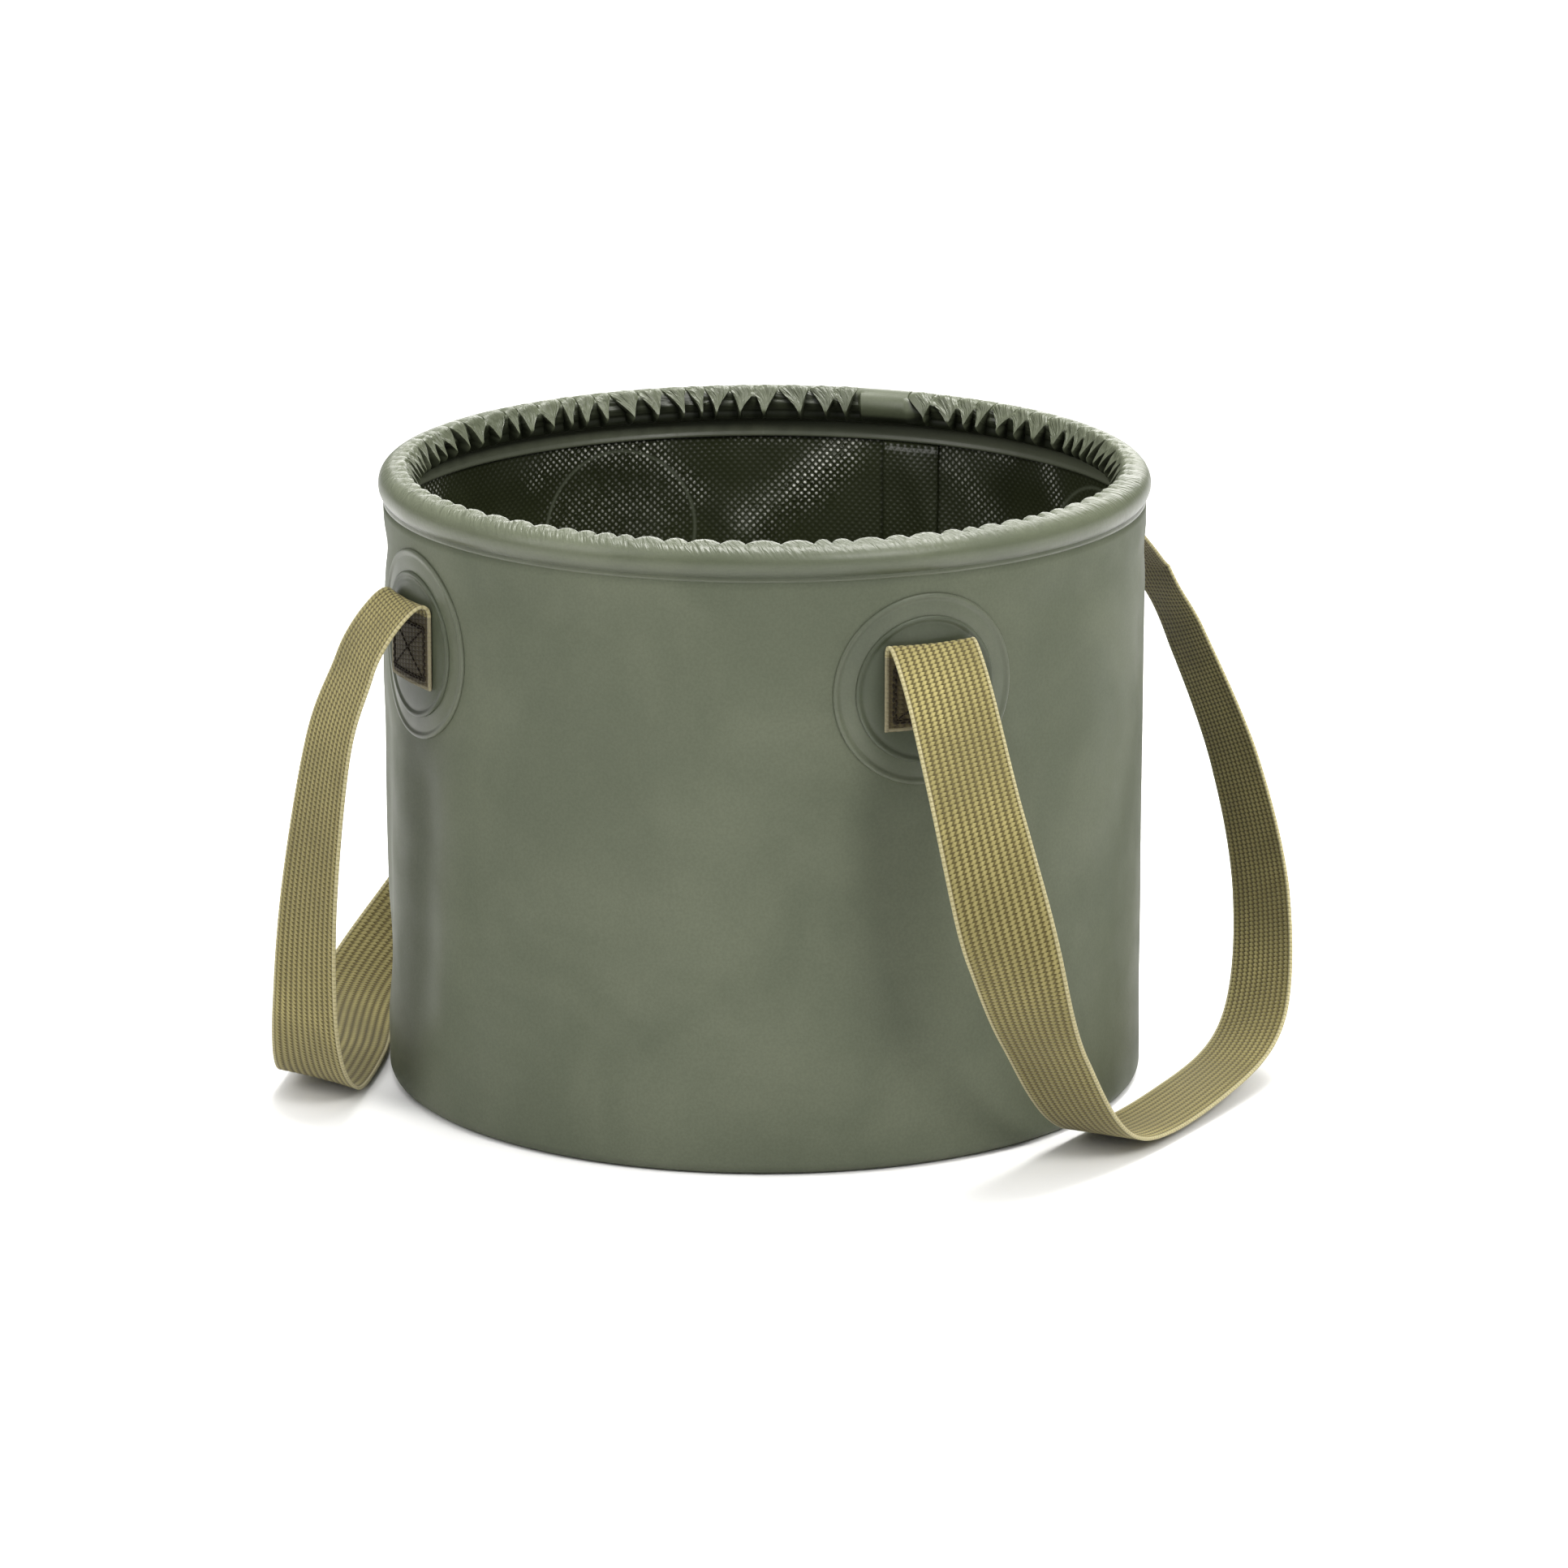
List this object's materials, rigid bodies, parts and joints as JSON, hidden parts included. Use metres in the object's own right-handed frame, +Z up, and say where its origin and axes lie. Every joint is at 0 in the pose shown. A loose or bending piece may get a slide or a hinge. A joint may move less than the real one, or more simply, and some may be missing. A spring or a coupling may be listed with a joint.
{
  "type": "collapsible bucket",
  "caption": "Collapsible round camp bucket: a welded tarpaulin tub with a gathered sleeve over its rim hoop, and webbing carrying loops sewn to round welded patches.",
  "frame": {"origin": "on the floor under the middle of the base, at the middle of the bounding box", "axes": "+Z up towards the rim, +X towards the right carrying loop and -X towards the left one, +Y towards the vertical weld of the wall"},
  "size_m": [0.4251, 0.3235, 0.26],
  "materials": {
    "tarpaulin": "olive green coated fabric, satin",
    "base": "olive green coated fabric, satin",
    "hoop": "plain black plastic rod",
    "webbing": "khaki ribbed webbing",
    "thread": "dark sewing thread"
  },
  "bodies": {
    "shell": {"side_wall": "tarpaulin", "seam_tape": "tarpaulin", "rim_sleeve": "tarpaulin", "rim_hoop": "hoop", "hoop_joiner": "hoop", "right_front_patch": "tarpaulin", "right_front_disc": "tarpaulin", "right_back_patch": "tarpaulin", "right_back_disc": "tarpaulin", "left_front_patch": "tarpaulin", "left_front_disc": "tarpaulin", "left_back_patch": "tarpaulin", "left_back_disc": "tarpaulin"},
    "base": {"base_panel": "base"},
    "right_tabs": {"right_front_tab": "webbing", "right_front_stitching": "thread", "right_front_fold": "webbing", "right_back_tab": "webbing", "right_back_stitching": "thread", "right_back_fold": "webbing"},
    "right_handle": {"right_loop": "webbing"},
    "left_tabs": {"left_front_tab": "webbing", "left_front_stitching": "thread", "left_front_fold": "webbing", "left_back_tab": "webbing", "left_back_stitching": "thread", "left_back_fold": "webbing"},
    "left_handle": {"left_loop": "webbing"}
  },
  "joints": [
    {"name": "collapse", "type": "slide", "parent": "shell", "child": "base", "axis": [0, 0, 1], "range_m": [0, 0.19], "deforming": ["side_wall", "seam_tape", "right_front_patch", "right_front_disc", "right_back_patch", "right_back_disc", "left_front_patch", "left_front_disc", "left_back_patch", "left_back_disc"]},
    {"name": "right_lift", "type": "slide", "parent": "shell", "child": "right_tabs", "axis": [0, 0, 1], "range_m": [0, 0.028]},
    {"name": "left_lift", "type": "slide", "parent": "shell", "child": "left_tabs", "axis": [0, 0, 1], "range_m": [0, 0.028]},
    {"name": "right_swing", "type": "hinge", "parent": "right_tabs", "child": "right_handle", "pos_m": [0.124, 0, 0.212], "axis": [0, -1, 0], "range_deg": [0, 150], "deforming": ["right_front_fold", "right_back_fold"]},
    {"name": "left_swing", "type": "hinge", "parent": "left_tabs", "child": "left_handle", "pos_m": [-0.124, 0, 0.212], "axis": [0, 1, 0], "range_deg": [0, 150], "deforming": ["left_front_fold", "left_back_fold"]}
  ],
  "couplings": [
    {"joint": "right_lift", "follows": "collapse", "ratio": 0.147},
    {"joint": "left_lift", "follows": "collapse", "ratio": 0.147}
  ]
}
